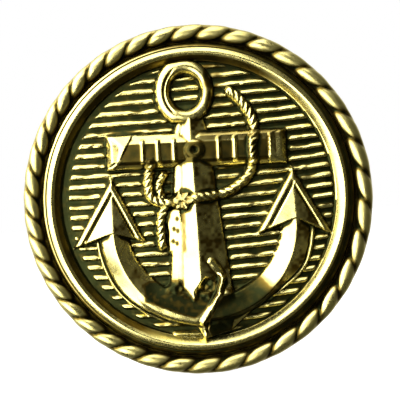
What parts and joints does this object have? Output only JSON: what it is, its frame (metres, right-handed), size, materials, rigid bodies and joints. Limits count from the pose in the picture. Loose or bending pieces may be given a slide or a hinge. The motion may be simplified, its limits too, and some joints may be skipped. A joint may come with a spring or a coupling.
{
  "type": "sew on button",
  "caption": "Round domed metal shank button with a rope border, a smooth raised ring, a lined field and a fouled anchor; a swivelling collet carries a tilting wire eye for sewing on.",
  "frame": {"origin": "centre of the flat annular seat on the button's back, on the button's axis", "axes": "as worn: the face looks along -Y, the shank and its eye point along +Y, the anchor stands upright with its shackle towards +Z, and +X is to the right seen from the front"},
  "size_m": [0.023, 0.0105, 0.023],
  "materials": {
    "gilt_brass": "polished highlights over antiqued olive recesses",
    "rope_brass": "polished strands, antiqued valleys",
    "steel_disc": "rolled steel",
    "pressed_board": "pressed grey-brown board, matt",
    "back_brass": "satin, slightly tarnished",
    "collet_brass": "turned satin",
    "washer_steel": "plain steel",
    "wire_brass": "drawn wire, worn bright where the thread bears"
  },
  "bodies": {
    "head": {"face_plate": "gilt_brass", "rope_rim": "rope_brass", "stiffener_disc": "steel_disc", "filler_board": "pressed_board", "back_plate": "back_brass"},
    "collet": {"shank_collet": "collet_brass", "collet_washer": "washer_steel"},
    "eye": {"shank_eye": "wire_brass"}
  },
  "joints": [
    {"name": "collet_swivel", "type": "hinge", "parent": "head", "child": "collet", "pos_m": [0, 0, 0], "axis": [0, 1, 0], "continuous": true},
    {"name": "eye_tilt", "type": "hinge", "parent": "collet", "child": "eye", "pos_m": [0, -0.0015, 0], "axis": [1, 0, 0], "range_deg": [-25, 25]}
  ]
}
